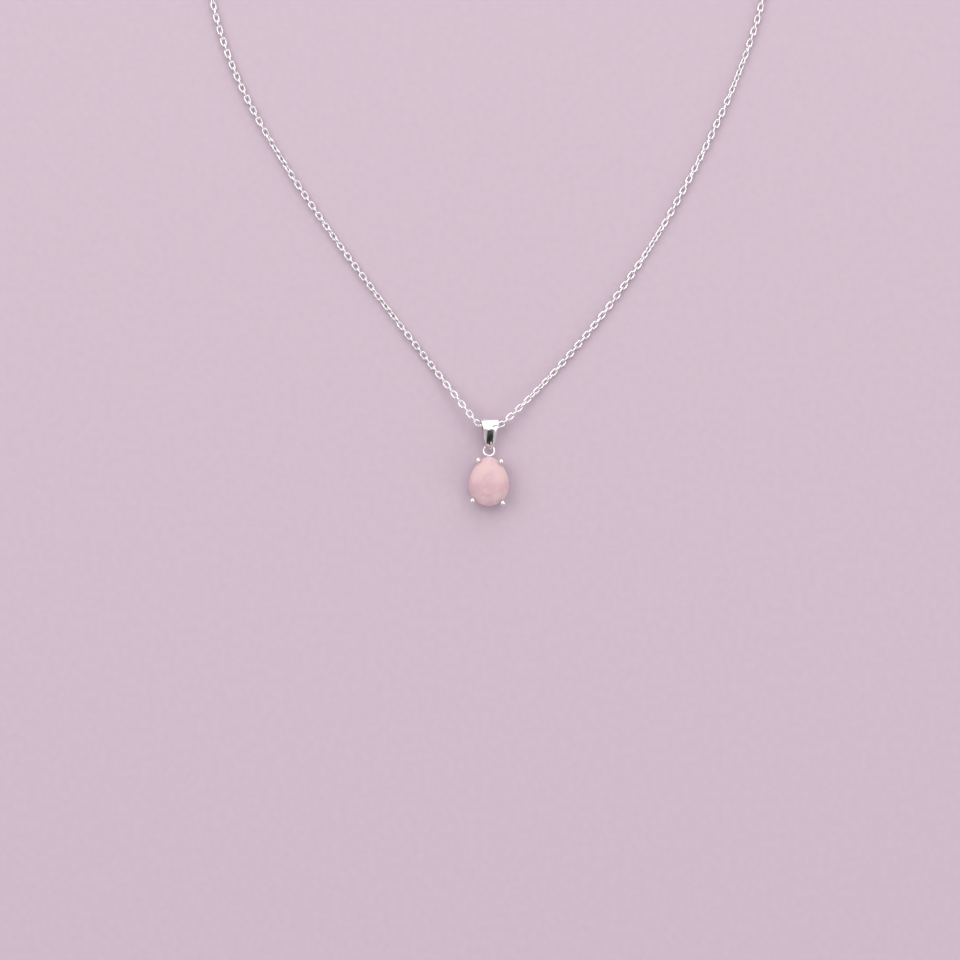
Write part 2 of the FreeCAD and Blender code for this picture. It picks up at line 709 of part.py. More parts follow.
def make_clasp_body(frame):
    outer, inner = size("clasp_hook_outer"), size("clasp_hook_inner")
    tip_out, face_middle, tip_in = hook_mouth(size("lever_reach") + size("clasp_running_gap"))
    neck = size("clasp_neck")
    belly = Vector(size("clasp_belly_at"), -size("clasp_belly_depth"), 0)
    shoulder = Vector(size("clasp_shoulder_at"), size("clasp_block_top"), 0)
    bulge = Vector(size("clasp_shoulder_bulge_at"), size("clasp_shoulder_bulge"), 0)
    block_top, block_end = size("clasp_block_top"), size("clasp_block_end")
    block_floor = Vector(block_end, -size("clasp_block_floor"), 0)
    low_out = HOOK_CENTRE - Y_AXIS * outer
    low_in = HOOK_CENTRE - Y_AXIS * inner
    rounding = size("clasp_throat_round")
    throat = Vector(block_end + size("clasp_throat"), low_in.y + rounding / 2, 0)
    throat_bend = Vector(block_end + rounding, throat.y + rounding, 0)
    claw = [
        Part.Arc(Vector(neck, -neck, 0), belly, low_out),
        Part.Arc(low_out, HOOK_CENTRE + X_AXIS * outer, tip_out),
        Part.Arc(tip_out, face_middle, tip_in),
        Part.Arc(tip_in, HOOK_CENTRE + X_AXIS * inner, low_in),
        Part.LineSegment(low_in, throat),
        Part.Arc(throat, throat_bend, block_floor),
        Part.LineSegment(block_floor, Vector(block_end, block_top, 0)),
        Part.LineSegment(Vector(block_end, block_top, 0), shoulder),
        Part.Arc(shoulder, bulge, Vector(neck, neck, 0)),
        Part.LineSegment(Vector(neck, neck, 0), Vector(neck, -neck, 0)),
    ]
    body = new_body("ClaspBody")
    claw_sketch = sketch_on(body, "XY_Plane", "clasp_claw_outline", claw)
    pad(body, claw_sketch, "Sizes.clasp_thickness", "clasp_claw", midplane=True)
    eye = sketch_on(body, "XY_Plane", "clasp_eye_outline", circle(Vector(), "clasp_eye_radius"))
    pad(body, eye, "Sizes.clasp_eye_thickness", "clasp_eye", midplane=True)
    hole = sketch_on(body, "XY_Plane", "clasp_eye_hole_outline", circle(Vector(), "clasp_eye_hole"))
    pocket(body, hole, "Sizes.clasp_thickness * 2", "clasp_eye_bore")
    slot_start = LEVER_PIVOT.x - size("lever_hub_radius") - size("clasp_slot_gap")
    slot_floor = -size("clasp_slot_depth")
    slot = sketch_on(
        body,
        "XY_Plane",
        "clasp_slot_outline",
        outline(
            Vector(slot_start, slot_floor, 0),
            Vector(block_end + outer, slot_floor, 0),
            Vector(block_end + outer, block_top + outer, 0),
            Vector(slot_start, block_top + outer, 0),
        ),
    )
    pocket(body, slot, "Sizes.clasp_slot", "clasp_lever_slot")
    bore = circle(LEVER_PIVOT, "pin_radius", "pin_press_gap")
    bore_sketch = sketch_on(body, "XY_Plane", "clasp_pin_bore_outline", bore)
    pocket(body, bore_sketch, "Sizes.clasp_thickness * 2", "clasp_pin_bore")
    body.Placement = frame
    return keep(body, "clasp_body")


def make_clasp_lever(frame):
    tip_out, end_middle, tip_in = hook_mouth(size("lever_reach"))
    hub = size("lever_hub_radius")
    hub_top, hub_back, hub_low = (LEVER_PIVOT + unit(angle) * hub for angle in LEVER_HUB_ANGLES)
    arm = [
        Part.Arc(hub_top, hub_back, hub_low),
        Part.Arc(hub_low, Vector(size("lever_bend_at"), size("lever_bend_low"), 0), tip_in),
        Part.Arc(tip_in, end_middle, tip_out),
        Part.Arc(tip_out, Vector(size("lever_bend_at"), size("lever_bend_high"), 0), hub_top),
    ]
    body = new_body("ClaspLever")
    thickness = "Sizes.clasp_slot - 2 * Sizes.clasp_running_gap"
    arm_sketch = sketch_on(body, "XY_Plane", "lever_arm_outline", arm)
    pad(body, arm_sketch, thickness, "lever_arm", midplane=True)
    thumb = circle(
        Vector(size("lever_thumb_at"), size("lever_thumb_height"), 0), "lever_thumb_radius"
    )
    thumb_sketch = sketch_on(body, "XY_Plane", "lever_thumb_outline", thumb)
    pad(body, thumb_sketch, thickness, "lever_thumb", midplane=True)
    recess = circle(LEVER_PIVOT, "lever_hub_radius", "lever_recess_gap")
    recess_sketch = sketch_on(
        body, "XY_Plane", "lever_recess_outline", recess, "Sizes.clasp_slot / 2"
    )
    recess_depth = "Sizes.clasp_slot - Sizes.clasp_running_gap - Sizes.lever_hub_thickness"
    pocket(body, recess_sketch, recess_depth, "lever_recess", midplane=False)
    bore = circle(LEVER_PIVOT, "pin_radius", "pin_running_gap")
    bore_sketch = sketch_on(body, "XY_Plane", "lever_bore_outline", bore)
    pocket(body, bore_sketch, "Sizes.clasp_slot * 2", "lever_bore")
    body.Placement = frame
    return keep(body, "clasp_lever")


def make_clasp_pin(frame):
    pin = doc.addObject("Part::Cylinder", "ClaspPin")
    pin.setExpression("Radius", "Sizes.pin_radius")
    pin.setExpression("Height", "Sizes.clasp_thickness")
    base = LEVER_PIVOT - Z_AXIS * (size("clasp_thickness") / 2)
    pin.Placement = frame.multiply(Placement(base, Rotation()))
    return keep(pin, "clasp_pin")


def make_clasp_spring(frame):
    """A small torsion coil round the pin, beside the lever's hub, with two short legs."""
    wire = size("spring_wire")
    coil_radius = size("pin_radius") + size("pin_running_gap") + wire
    rise = size("spring_rise") / 2
    low = (
        -size("clasp_slot") / 2
        + size("clasp_running_gap")
        + size("lever_hub_thickness")
        + wire / 2
        + size("solder_gap")
    )
    reach = math.hypot(coil_radius, rise / 2)
    tilt = math.degrees(math.asin(rise / 2 / reach))
    wires = []
    for number in range(SPRING_HALF_TURNS):
        is_return = number % 2
        half_turn = doc.addObject("Part::Torus", f"SpringHalfTurn{number + 1}")
        half_turn.Radius1 = reach
        half_turn.setExpression("Radius2", "Sizes.spring_wire / 2")
        half_turn.Angle3 = 180
        lean = Rotation(Y_AXIS, tilt * (1 - 2 * is_return))
        half_turn.Placement = Placement(
            Vector(0, 0, (number + 0.5) * rise), lean.multiply(Rotation(Z_AXIS, 180 * is_return))
        )
        wires.append(half_turn)
    height = SPRING_HALF_TURNS * rise
    for name, side, level in (("SpringLegLow", 1, 0.0), ("SpringLegHigh", -1, height)):
        leg = doc.addObject("Part::Cylinder", name)
        leg.setExpression("Radius", "Sizes.spring_wire / 2")
        leg.setExpression("Height", "Sizes.spring_leg")
        leg.Placement = Placement(Vector(side * coil_radius, 0, level), Rotation(X_AXIS, 90))
        wires.append(leg)
    spring = doc.addObject("Part::MultiFuse", "ClaspSpring")
    spring.Shapes = wires
    spring.Placement = frame.multiply(Placement(LEVER_PIVOT + Z_AXIS * low, Rotation()))
    return keep(spring, "clasp_spring")


# ---------------------------------------------------------------- everything together

make_stone()
make_rail("upper_rail", UPPER_RAIL_TOP - size("upper_rail_height"))
make_rail("lower_rail", 0.0)
for claw_label, claw_direction in CLAW_DIRECTIONS.items():
    make_claw(claw_label, claw_direction)
make_hanging_ring()
make_bail()
doc.recompute()

chain_link = make_link()
doc.recompute()
chain_frames = {"right": side_frames("right"), "left": side_frames("left")}
make_chain(chain_link, chain_frames)

end_frame, end_heading, end_centreline = ring_frame(chain_frames["left"][-1], "end_ring_outer")
make_ring("EndRing", "end_ring", "end_ring_outer", "jump_wire", end_frame.Base, end_frame.Rotation)

ring_place, clasp_heading, clasp_centreline = ring_frame(
    chain_frames["right"][-1], "clasp_ring_outer"
)
make_ring(
    "ClaspRing", "clasp_ring", "clasp_ring_outer", "jump_wire", ring_place.Base, ring_place.Rotation
)
eye_centre = ring_place.Base + clasp_heading * (clasp_centreline + size("clasp_ring_slack"))
eye_centre.z = size("clasp_thickness") / 2 + size("floor_gap")
clasp_yaw = math.degrees(math.atan2(clasp_heading.y, clasp_heading.x))
clasp_frame = Placement(eye_centre, Rotation(Z_AXIS, clasp_yaw))
make_clasp_body(clasp_frame)
make_clasp_lever(clasp_frame)
make_clasp_pin(clasp_frame)
make_clasp_spring(clasp_frame)
doc.recompute()

for item in doc.Objects:
    if "Invalid" in item.State or "Error" in item.State:
        raise RuntimeError(f"{item.Label} failed: {item.State}")
for piece in pieces:
    if piece.Shape.isNull() or not piece.Shape.isValid():
        raise RuntimeError(f"{piece.Label} has no valid shape")

os.makedirs("parts", exist_ok=True)
for piece in pieces:
    piece.Shape.exportStep(f"parts/{piece.Label}.step")
    box = piece.Shape.BoundBox
    spans = (box.XMin, box.XMax, box.YMin, box.YMax, box.ZMin, box.ZMax)
    print(piece.Label, len(piece.Shape.Solids), "solids", *(round(span, 3) for span in spans))
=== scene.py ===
import bmesh
import bpy
import json
import math
import numpy as np
from mathutils import Matrix, Vector


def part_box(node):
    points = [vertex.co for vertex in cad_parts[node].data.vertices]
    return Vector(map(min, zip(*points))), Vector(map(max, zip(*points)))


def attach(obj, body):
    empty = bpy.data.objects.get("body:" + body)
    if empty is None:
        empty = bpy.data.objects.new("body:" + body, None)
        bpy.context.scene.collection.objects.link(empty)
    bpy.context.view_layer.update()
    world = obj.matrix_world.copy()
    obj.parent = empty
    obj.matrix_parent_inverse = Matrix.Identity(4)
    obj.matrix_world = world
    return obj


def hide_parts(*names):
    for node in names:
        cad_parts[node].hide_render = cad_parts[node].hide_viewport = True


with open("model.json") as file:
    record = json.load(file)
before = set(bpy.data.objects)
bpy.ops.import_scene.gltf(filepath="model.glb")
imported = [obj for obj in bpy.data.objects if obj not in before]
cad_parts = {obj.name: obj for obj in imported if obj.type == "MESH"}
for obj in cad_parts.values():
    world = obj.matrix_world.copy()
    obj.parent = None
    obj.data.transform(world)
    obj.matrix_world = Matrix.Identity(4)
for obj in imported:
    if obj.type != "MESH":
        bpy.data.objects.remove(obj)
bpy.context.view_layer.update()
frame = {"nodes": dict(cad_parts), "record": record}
nodes = frame["nodes"]
mm = 0.001


# small helpers

def clearSelection():
    if bpy.context.mode != "OBJECT":
        bpy.ops.object.mode_set(mode="OBJECT")
    bpy.ops.object.select_all(action="DESELECT")


def select(obj):
    clearSelection()
    obj.select_set(True)
    bpy.context.view_layer.objects.active = obj


def pickVerts(obj, wanted):
    # selects in edit mode the vertices that wanted() says yes to, and nothing else
    mesh = bmesh.from_edit_mesh(obj.data)
    for vert in mesh.verts:
        vert.select_set(bool(wanted(vert.co)))
    mesh.select_flush_mode()
    bmesh.update_edit_mesh(obj.data)


def applyAll(obj):
    select(obj)
    for modifier in list(obj.modifiers):
        bpy.ops.object.modifier_apply(modifier=modifier.name)


def smoothByAngle(obj, degrees):
    select(obj)
    bpy.ops.object.shade_smooth_by_angle(angle=math.radians(degrees))


def dress(obj, material, slotName, body, *cadNodes):
    if material:    # the bail is given none here, because it has its two already
        obj.data.materials.clear()
        obj.data.materials.append(material)
    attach(obj, body)
    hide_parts(*cadNodes)


def bodyOf(node):
    for body, members in frame["record"]["behaviour"]["bodies"].items():
        if node in members:
            return body


welding = {"reach": 0.0005 * mm, "flat": 0.5}    # flat is in degrees


def mergedCopy(node, name):
    # a welded copy of a CAD node, ready for rounding and smooth shading
    mesh = nodes[node].data.copy()
    obj = bpy.data.objects.new(name, mesh)
    bpy.context.scene.collection.objects.link(obj)
    select(obj)
    bpy.ops.object.mode_set(mode="EDIT")
    bpy.ops.mesh.customdata_custom_splitnormals_clear()
    bpy.ops.mesh.select_all(action="SELECT")
    bpy.ops.mesh.remove_doubles(threshold=welding["reach"])
    bpy.ops.mesh.dissolve_limited(angle_limit=math.radians(welding["flat"]))
    bpy.ops.object.mode_set(mode="OBJECT")
    return obj


def newMaterial(name):
    material = bpy.data.materials.new(name)
    material.use_nodes = True
    tree = material.node_tree
    return material, tree, tree.nodes["Principled BSDF"]


def noise(tree, scale, detail, roughness=0.5, stretch=None):
    place = tree.nodes.new("ShaderNodeTexCoord")
    texture = tree.nodes.new("ShaderNodeTexNoise")
    texture.inputs["Scale"].default_value = scale
    texture.inputs["Detail"].default_value = detail
    texture.inputs["Roughness"].default_value = roughness
    if stretch:
        mapping = tree.nodes.new("ShaderNodeMapping")
        mapping.inputs["Scale"].default_value = stretch
        tree.links.new(place.outputs["Object"], mapping.inputs["Vector"])
        tree.links.new(mapping.outputs["Vector"], texture.inputs["Vector"])
    else:
        tree.links.new(place.outputs["Object"], texture.inputs["Vector"])
    return texture


def ramp(tree, source, stops):
    node = tree.nodes.new("ShaderNodeValToRGB")
    band = node.color_ramp
    while len(band.elements) < len(stops):
        band.elements.new(0.5)
    for element, (position, colour) in zip(band.elements, stops):
        element.position = position
        element.color = (*colour, 1)
    tree.links.new(source, node.inputs["Fac"])
    return node


noiseSpan = (0.3, 0.7)    # where nearly all of a noise pattern lies


def rangeOf(tree, source, low, high):
    node = tree.nodes.new("ShaderNodeMapRange")
    node.inputs["From Min"].default_value = noiseSpan[0]
    node.inputs["From Max"].default_value = noiseSpan[1]
    node.inputs["To Min"].default_value = low
    node.inputs["To Max"].default_value = high
    tree.links.new(source, node.inputs["Value"])
    return node


def bump(tree, source, strength, distance):
    node = tree.nodes.new("ShaderNodeBump")
    node.inputs["Strength"].default_value = strength
    node.inputs["Distance"].default_value = distance
    tree.links.new(source, node.inputs["Height"])
    return node


silverFinish = {
    "bright": (0.93, 0.915, 0.905),
    "dull": (0.87, 0.85, 0.84),
    "roughness": (0.06, 0.17),
    "handling": 900,      # scale of the faint smears
    "scratches": 5200,
}

# the bail's inner face: rougher than the outside, and its colours far darker than silver's,
# which is painted shade for the hollow that the front leg shades
insideShadedFinish = {
    "bright": (0.62, 0.59, 0.585),
    "dull": (0.44, 0.41, 0.41),
    "roughness": (0.22, 0.38),
    "handling": 1400,
    "scratches": 5200,
}

silverMarks = {
    "smearDetail": 4,
    "smears": (0.30, 0.55),         # where the smears are dull, and where they are bright
    "hairDetail": (2, 0.6),
    "hairStretch": (1, 0.12, 1),    # drawn out along the piece
    "strength": 0.05,
    "depth": 0.02 * mm,
}


def silver(name, finish, wear=1.0):
    material, tree, shader = newMaterial(name)
    shader.inputs["Metallic"].default_value = 1
    m = silverMarks
    smears = noise(tree, finish["handling"], m["smearDetail"])
    stops = list(zip(m["smears"], (finish["dull"], finish["bright"])))
    colour = ramp(tree, smears.outputs["Fac"], stops)
    tree.links.new(colour.outputs["Color"], shader.inputs["Base Color"])
    low, high = finish["roughness"]
    rough = rangeOf(tree, smears.outputs["Fac"], high * wear, low * wear)
    tree.links.new(rough.outputs["Result"], shader.inputs["Roughness"])
    lines = noise(tree, finish["scratches"], *m["hairDetail"], m["hairStretch"])
    hairlines = bump(tree, lines.outputs["Fac"], m["strength"] * wear, m["depth"])
    tree.links.new(hairlines.outputs["Normal"], shader.inputs["Normal"])
    return material


stoneFinish = {
    "milk": (0.80, 0.575, 0.595),
    "rose": (0.735, 0.485, 0.525),
    "peach": (0.82, 0.60, 0.58),
    "clouds": (260, 5, 0.55),            # scale, detail and roughness of the pattern
    "cloudStops": (0.40, 0.52, 0.64),    # rose, milk, peach
    "flecks": (1500, 3, 0.7),
    "fleckStops": (0.25, 0.36),
    "fleckShade": 0.55,
    "fleckShare": 0.35,
    "cloudiness": 0.6,
    "glow": (0.9, 0.65, 0.6),            # how deep red, green and blue go, in mm
    "roughness": 0.42,
    "gloss": 0.3,
    "bending": 1.54,
    "polish": (4000, 2),
    "polishBump": (0.04, 0.02 * mm),     # strength and depth
}
colourSockets = (6, 7, 2)    # of a Mix node: the two that go in, and the one that comes out


def cloudyStone():
    f = stoneFinish
    material, tree, shader = newMaterial("cloudyPinkStone")
    cloud = noise(tree, *f["clouds"])
    tints = (f["rose"], f["milk"], f["peach"])
    base = ramp(tree, cloud.outputs["Fac"], list(zip(f["cloudStops"], tints)))
    flecks = noise(tree, *f["flecks"])
    shades = ((f["fleckShade"],) * 3, (1, 1, 1))
    fleckMask = ramp(tree, flecks.outputs["Fac"], list(zip(f["fleckStops"], shades)))
    mix = tree.nodes.new("ShaderNodeMix")
    mix.data_type = "RGBA"
    mix.blend_type = "MULTIPLY"
    mix.inputs["Factor"].default_value = f["fleckShare"]
    first, second, mixed = colourSockets
    tree.links.new(base.outputs["Color"], mix.inputs[first])
    tree.links.new(fleckMask.outputs["Color"], mix.inputs[second])
    tree.links.new(mix.outputs[mixed], shader.inputs["Base Color"])
    shader.inputs["Subsurface Weight"].default_value = f["cloudiness"]
    shader.inputs["Subsurface Radius"].default_value = f["glow"]
    shader.inputs["Subsurface Scale"].default_value = mm
    shader.inputs["IOR"].default_value = f["bending"]
    shader.inputs["Specular IOR Level"].default_value = f["gloss"]
    shader.inputs["Roughness"].default_value = f["roughness"]
    polish = noise(tree, *f["polish"])
    skin = bump(tree, polish.outputs["Fac"], *f["polishBump"])
    tree.links.new(skin.outputs["Normal"], shader.inputs["Normal"])
    return material


steelFinish = {
    "dark": (0.42, 0.42, 0.43),
    "light": (0.6, 0.6, 0.6),
    "grain": (3000, 3),
    "roughness": 0.3,
}


def springSteel():
    material, tree, shader = newMaterial("drawnSpringSteel")
    shader.inputs["Metallic"].default_value = 1
    grain = noise(tree, *steelFinish["grain"])
    stops = list(zip(noiseSpan, (steelFinish["dark"], steelFinish["light"])))
    colour = ramp(tree, grain.outputs["Fac"], stops)
    tree.links.new(colour.outputs["Color"], shader.inputs["Base Color"])
    shader.inputs["Roughness"].default_value = steelFinish["roughness"]
    return material


settingSilver = silver("polishedSilver", silverFinish)
chainSilver = silver("chainSilver", silverFinish, 1.2)
# the inner face's material carries painted shade: its darker colour stands in for the shade
# inside the loop
insideShadedSilver = silver("unpolishedSilver", insideShadedFinish)    # inside the bail
pinkStone = cloudyStone()
wireSteel = springSteel()
print("materials ready")


stoneCut = {
    "edge": 0.10 * mm,
    "segments": 2,
    "facetAngle": 4,     # two facets that meet at more than this get a soft edge
    "smoothAngle": 35,
}


def makeStone():
    stone = mergedCopy("gemstone", "pearStone")
    bevel = stone.modifiers.new("softFacets", "BEVEL")
    bevel.width = stoneCut["edge"]
    bevel.segments = stoneCut["segments"]
    bevel.limit_method = "ANGLE"
    bevel.angle_limit = math.radians(stoneCut["facetAngle"])
    applyAll(stone)
    smoothByAngle(stone, stoneCut["smoothAngle"])
    dress(stone, pinkStone, "cloudy_pink_stone", bodyOf("gemstone"), "gemstone")


makeStone()
print("stone done")


# rails, claws, hanging ring and pin: welded and smoothed from the frame
smoothAngles = {"silver": 40, "spring": 50}
smoothed = {
    "upper_rail": "upperRail",
    "lower_rail": "lowerRail",
    "claw_top_right": "clawTopRight",
    "claw_top_left": "clawTopLeft",
    "claw_bottom_left": "clawBottomLeft",
    "claw_bottom_right": "clawBottomRight",
    "hanging_ring": "hangingRing",
    "clasp_pin": "claspPin",
}
for node, name in smoothed.items():
    piece = mergedCopy(node, name)
    smoothByAngle(piece, smoothAngles["silver"])
    dress(piece, settingSilver, "polished_silver", bodyOf(node), node)
spring = mergedCopy("clasp_spring", "claspSpring")
smoothByAngle(spring, smoothAngles["spring"])
dress(spring, wireSteel, "spring_steel", bodyOf("clasp_spring"), "clasp_spring")
print("basket, claws, hanging ring, pin and spring done")


# closed jump rings, each with a fine butt joint where the ends of its wire meet
jumpRings = {
    "end_ring": {"name": "endRing", "outer": 3.6 * mm, "joint": (0.2, 1.0, 0.0)},
    "clasp_ring": {"name": "claspRing", "outer": 2.6 * mm, "joint": (-0.3, -1.0, 0.4)},
}
jumpWire = {
    "thickness": 0.42 * mm,
    "around": 80,
    "section": 24,
    "joint": 0.022 * mm,
    "jointCuts": 2,
    "sink": 1.4,              # the joint's depth, as a share of its width
    "smoothAngle": 60,
}


def atJoint(co):
    # the one ring of vertices that lies on the torus's x axis
    return co.x > 0 and abs(co.y) < 0.002 * mm


def makeJumpRing(node, ring):
    w = jumpWire
    clearSelection()
    bpy.ops.mesh.primitive_torus_add(
        major_radius=(ring["outer"] - w["thickness"]) / 2,
        minor_radius=w["thickness"] / 2,
        major_segments=w["around"],
        minor_segments=w["section"],
    )
    piece = bpy.context.object
    piece.name = ring["name"]
    bpy.ops.object.mode_set(mode="EDIT")
    pickVerts(piece, atJoint)
    bpy.ops.mesh.bevel(offset=w["joint"], segments=w["jointCuts"], affect="EDGES")
    pickVerts(piece, atJoint)
    bpy.ops.transform.shrink_fatten(value=-w["sink"] * w["joint"])
    bpy.ops.object.mode_set(mode="OBJECT")
    # it lies in the plane of its CAD node, with the joint turned outwards
    points = np.array([tuple(vert.co) for vert in nodes[node].data.vertices])
    centre = (points.max(0) + points.min(0)) / 2
    axis = Vector(np.linalg.svd(points - points.mean(0), full_matrices=False)[2][2])
    out = Vector(ring["joint"])
    out = (out - axis * out.dot(axis)).normalized()
    side = axis.cross(out)
    rows = [[out[i], side[i], axis[i], centre[i]] for i in range(3)]
    piece.data.transform(Matrix(rows + [[0, 0, 0, 1]]))
    smoothByAngle(piece, w["smoothAngle"])
    dress(piece, settingSilver, "polished_silver", bodyOf(node), node)


for node, ring in jumpRings.items():
    makeJumpRing(node, ring)
print("jump rings done")


# the clasp's castings, remeshed fine and tumbled until their edges are round
claspCast = {
    "clasp_body": {"name": "claspBody", "grain": 0.05 * mm, "tumbling": 60},
    "clasp_lever": {"name": "claspLever", "grain": 0.035 * mm, "tumbling": 30},
}
castingFinish = {"factor": 0.5, "smoothAngle": 60}


def makeCasting(node, cast):
    piece = mergedCopy(node, cast["name"])
    fine = piece.modifiers.new("fine", "REMESH")
    fine.mode = "VOXEL"
    fine.voxel_size = cast["grain"]
    tumbled = piece.modifiers.new("tumbled", "SMOOTH")
    tumbled.factor = castingFinish["factor"]
    tumbled.iterations = cast["tumbling"]
    applyAll(piece)
    print(node, "faces:", len(piece.data.polygons))
    smoothByAngle(piece, castingFinish["smoothAngle"])
    dress(piece, settingSilver, "polished_silver", bodyOf(node), node)


for node, cast in claspCast.items():
    makeCasting(node, cast)
print("clasp done")


# a tapered loop of band, crowned all round, its front leg fuller, bowed and domed
bailBand = {
    "footRadius": 0.95 * mm,
    "topRadius": 1.80 * mm,
    "centres": 4.20 * mm,
    "wall": 0.34 * mm,
    "halfTop": 1.80 * mm,
    "halfFoot": 0.24 * mm,
    "swell": 0.34 * mm,       # how much further the front leg reaches to either side
    "swellLean": 0.6,         # below 1, the swell is fuller near the foot
    "bow": 26 * mm,           # radius that the front leg is bowed to, along its length
    "crown": 0.22 * mm,       # how far the edges lie below the middle, at the widest
    "flatter": 0.6,           # the crown's share that the chain's end of the loop lacks
    "dome": 0.20 * mm,        # a further drop of the front leg's edges
    "domeReach": 1.1,         # how far up the dome goes, as a share of the leg
    "domeFade": 0.7,
    "edge": 0.09 * mm,
    "edgeSegments": 3,
    "edgeAngle": 60,
    "rows": 10,
    "around": 60,
    "legCuts": 9,
    "pitch": 18.17,
    "roll": 14.0,
    "smoothAngle": 50,
}
near = 1e-7        # closer than this, in metres, two places are the same
sameRow = 0.02     # the same for two rows, as a share of the band's half width


def bailHalfWidth(x, front=False):
    # half of the band's width at this place along the loop
    b = bailBand
    start = -b["centres"] - b["footRadius"]
    share = (x - start) / (b["topRadius"] - start)
    straight = b["halfFoot"] + share * (b["halfTop"] - b["halfFoot"])
    if not front:
        return straight
    above = max((x + b["centres"]) / (b["topRadius"] + b["centres"]), 0)
    return straight + b["swell"] * math.sin(math.pi * above ** b["swellLean"])


def bailBow(x, z):
    # how far the front leg rises here, where a large arc touches both bends from outside
    b = bailBand
    top, foot, span = b["bow"] - b["topRadius"], b["bow"] - b["footRadius"], b["centres"]
    middle = (foot**2 - top**2 - span**2) / (2 * span)
    depth = math.sqrt(top**2 - middle**2)
    start = -span - b["footRadius"] * (span + middle) / foot
    end = -b["topRadius"] * middle / top
    if not start < x < end:
        return 0.0
    return math.sqrt(b["bow"] ** 2 - (x - middle) ** 2) - depth - z


def bailDome(x):
    # how far the front leg's edges drop here: nothing at either end of the leg
    b = bailBand
    along = (x + b["centres"]) / b["centres"]
    if not 0 < along < b["domeReach"]:
        return 0.0
    fade = math.sin(math.pi * along / b["domeReach"]) ** b["domeFade"]
    return b["dome"] * fade * bailHalfWidth(x) / b["halfTop"]


def makeBail():
    b = bailBand
    lean = math.asin((b["topRadius"] - b["footRadius"]) / b["centres"])
    clearSelection()
    bpy.ops.mesh.primitive_circle_add(
        vertices=b["around"],
        radius=b["topRadius"],
        location=(0, 0, 0),
        rotation=(math.pi / 2, 0, 0),
    )
    bail = bpy.context.object
    bail.name = "taperedBail"
    bpy.ops.object.transform_apply(location=True, rotation=True, scale=True)
    bpy.ops.object.mode_set(mode="EDIT")
    # the foot's half of the circle is made small and pulled away, and leaves two long edges
    split = -b["topRadius"] * math.sin(lean) - 0.001 * mm
    pickVerts(bail, lambda co: co.x < split)
    shrink = b["footRadius"] / b["topRadius"]
    bpy.ops.transform.resize(value=(shrink, 1, shrink), center_override=(0, 0, 0))
    bpy.ops.transform.translate(value=(-b["centres"], 0, 0))
    bpy.ops.mesh.select_mode(type="EDGE")
    mesh = bmesh.from_edit_mesh(bail.data)
    for line in mesh.edges:
        line.select_set(line.calc_length() > 1 * mm)
    bmesh.update_edit_mesh(bail.data)
    bpy.ops.mesh.subdivide(number_cuts=b["legCuts"])
    bpy.ops.mesh.select_mode(type="VERT")
    # the loop is drawn out sideways, row by row, to a band 2 mm wide
    bpy.ops.mesh.select_all(action="SELECT")
    bpy.ops.transform.translate(value=(0, -1 * mm, 0))
    for row in range(b["rows"]):
        bpy.ops.mesh.extrude_region_move(
            TRANSFORM_OT_translate={"value": (0, 2 * mm / b["rows"], 0)}
        )
    bpy.ops.mesh.select_all(action="SELECT")
    bpy.ops.mesh.normals_make_consistent(inside=False)
    # each column gets its width and drops its edges, and the front ones bow and dome
    mesh = bmesh.from_edit_mesh(bail.data)
    corners = {(vert.co.x, vert.co.z > -near, vert.co.z) for vert in mesh.verts}
    columns = sorted({(round(x, 7), front, round(z, 7)) for x, front, z in corners})
    shares = [1 - 2 * row / b["rows"] for row in range(b["rows"] // 2)]
    for place, front, height in columns:
        half = bailHalfWidth(place, front)
        flat = max(place / b["topRadius"], 0)

        def onLeg(co, place=place, front=front):
            return abs(co.x - place) < near and (co.z > -near) == front

        pickVerts(bail, onLeg)
        bpy.ops.transform.resize(value=(1, half / mm, 1), center_override=(0, 0, 0))
        if front:
            bpy.ops.transform.translate(value=(0, 0, bailBow(place, height)))
        for share in shares:
            drop = bailDome(place) * share**2 if front else 0

            def onRow(co, half=half, share=share):
                return onLeg(co) and abs(abs(co.y) / half - share) < sameRow

            pickVerts(bail, onRow)
            bpy.ops.transform.translate(value=(0, 0, -drop))
            crown = b["crown"] * half / b["halfTop"] * (1 - b["flatter"] * flat**2)
            bpy.ops.transform.shrink_fatten(value=-crown * share**2)
    bpy.ops.object.mode_set(mode="OBJECT")
    for material in (settingSilver, insideShadedSilver):
        bail.data.materials.append(material)
    wall = bail.modifiers.new("wall", "SOLIDIFY")
    wall.thickness = b["wall"]
    wall.offset = -1
    wall.use_even_offset = True
    # the inner shell takes the second material, whose darker colour is painted shade
    wall.material_offset = 1
    edge = bail.modifiers.new("edge", "BEVEL")
    edge.width = b["edge"]
    edge.segments = b["edgeSegments"]
    edge.limit_method = "ANGLE"
    edge.angle_limit = math.radians(b["edgeAngle"])
    soft = bail.modifiers.new("soft", "SUBSURF")
    soft.levels = soft.render_levels = 1
    applyAll(bail)
    # laid over the chain as its CAD node is, and centred on it
    for degrees, axis in ((90, "Z"), (b["roll"], "Y"), (b["pitch"], "X")):
        bail.data.transform(Matrix.Rotation(math.radians(degrees), 4, axis))
    low, high = (Vector(corner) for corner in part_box("bail"))
    points = np.array([tuple(vert.co) for vert in bail.data.vertices])
    middle = Vector((points.min(0) + points.max(0)) / 2)
    bail.data.transform(Matrix.Translation((low + high) / 2 - middle))
    smoothByAngle(bail, b["smoothAngle"])
    dress(bail, None, "polished_silver", bodyOf("bail"), "bail")


makeBail()
print("bail done")


# one oval link, copied to every link of the frame
chainLink = {
    "length": 2.05 * mm,
    "width": 1.34 * mm,
    "wire": 0.38 * mm,
    "fuller": 1.05,           # a six-sided wire is made this much thicker, to look round
    "around": 12,
    "section": 6,
    "split": 0.02 * mm,       # what lies further from the middle is pulled out to a side
    "misfit": 0.05 * mm,      # how far a link's length may be from the one given here
    "smoothAngle": 70,
}
frontLinks, stretchLinks = 7, 15


